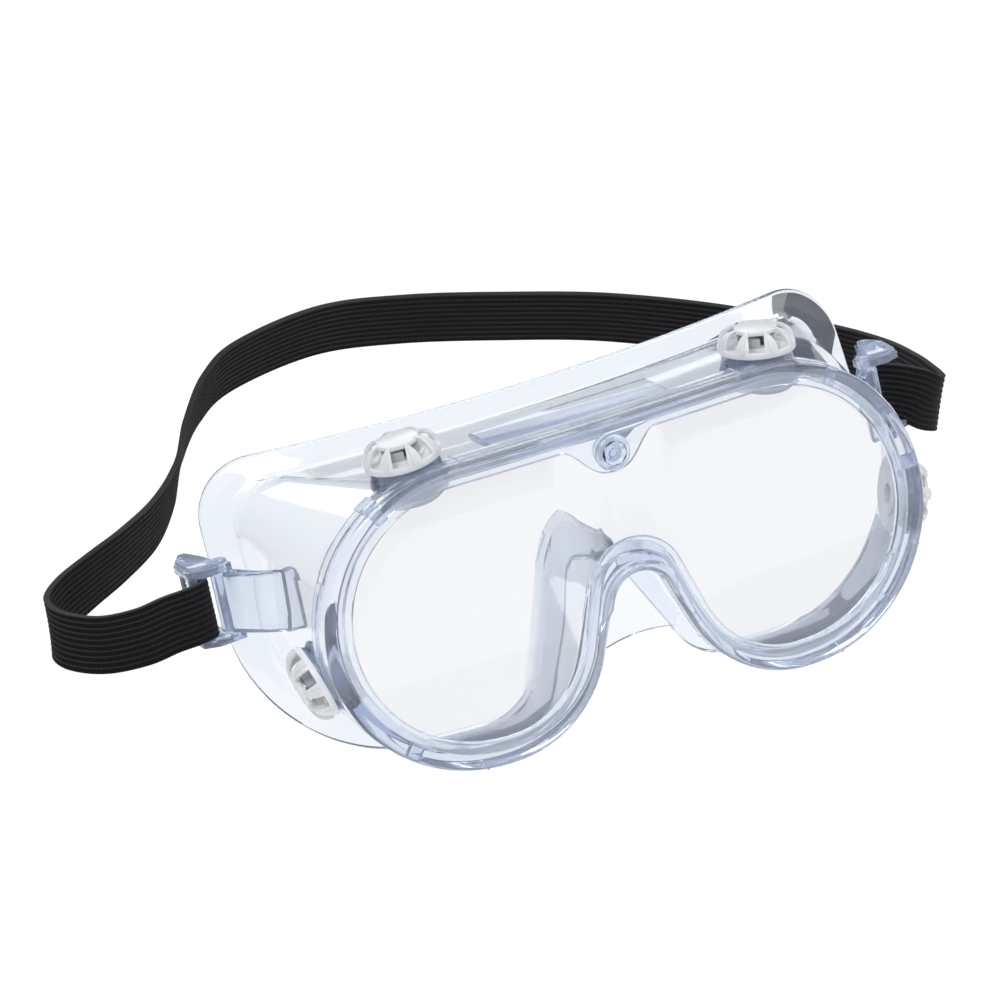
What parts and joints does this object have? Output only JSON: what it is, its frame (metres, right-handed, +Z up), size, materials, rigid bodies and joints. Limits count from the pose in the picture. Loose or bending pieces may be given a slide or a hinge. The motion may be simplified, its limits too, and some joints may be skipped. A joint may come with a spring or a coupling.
{
  "type": "splash goggles",
  "caption": "Clear chemical-splash goggles with a soft vented frame, a curved one-piece lens, swivelling strap clips and a black ribbed elastic strap.",
  "frame": {"origin": "middle of the nose, at the foremost line of the front lip, on the lower edge of the front rim that the goggles stand on", "axes": "+X to the right seen from in front, -Y the way the lens faces, +Y towards the wearer, +Z up"},
  "size_m": [0.2441, 0.1448, 0.0893],
  "materials": {
    "clear_pvc": "clear soft PVC with a slight blue tint, smooth with faint mould lines",
    "lens_clear": "clear polycarbonate, polished",
    "clear_plastic": "clear hard plastic, polished",
    "vent_white": "milky translucent polyethylene, satin",
    "strap_black": "woven elastic with lengthwise ribs, dull"
  },
  "bodies": {
    "goggles": {"frame_body": "clear_pvc", "lens": "lens_clear", "lens_button": "clear_plastic", "button_washer": "clear_plastic", "vent_cap_top_left": "vent_white", "vent_plug_top_left": "vent_white", "vent_cap_top_right": "vent_white", "vent_plug_top_right": "vent_white", "vent_cap_side_left": "vent_white", "vent_plug_side_left": "vent_white", "vent_cap_side_right": "vent_white", "vent_plug_side_right": "vent_white", "clip_pin_left": "clear_plastic", "clip_pin_right": "clear_plastic", "strap_main": "strap_black"},
    "clip_left": {"strap_clip_left": "clear_plastic", "strap_end_left": "strap_black"},
    "clip_right": {"strap_clip_right": "clear_plastic", "strap_end_right": "strap_black"}
  },
  "joints": [
    {"name": "clip_left_swivel", "type": "hinge", "parent": "goggles", "child": "clip_left", "pos_m": [-0.0882, 0.0495, 0.0466], "axis": [0, 0, 1], "range_deg": [-6, 30]},
    {"name": "clip_right_swivel", "type": "hinge", "parent": "goggles", "child": "clip_right", "pos_m": [0.0882, 0.0495, 0.0466], "axis": [0, 0, 1], "range_deg": [-30, 6]}
  ]
}
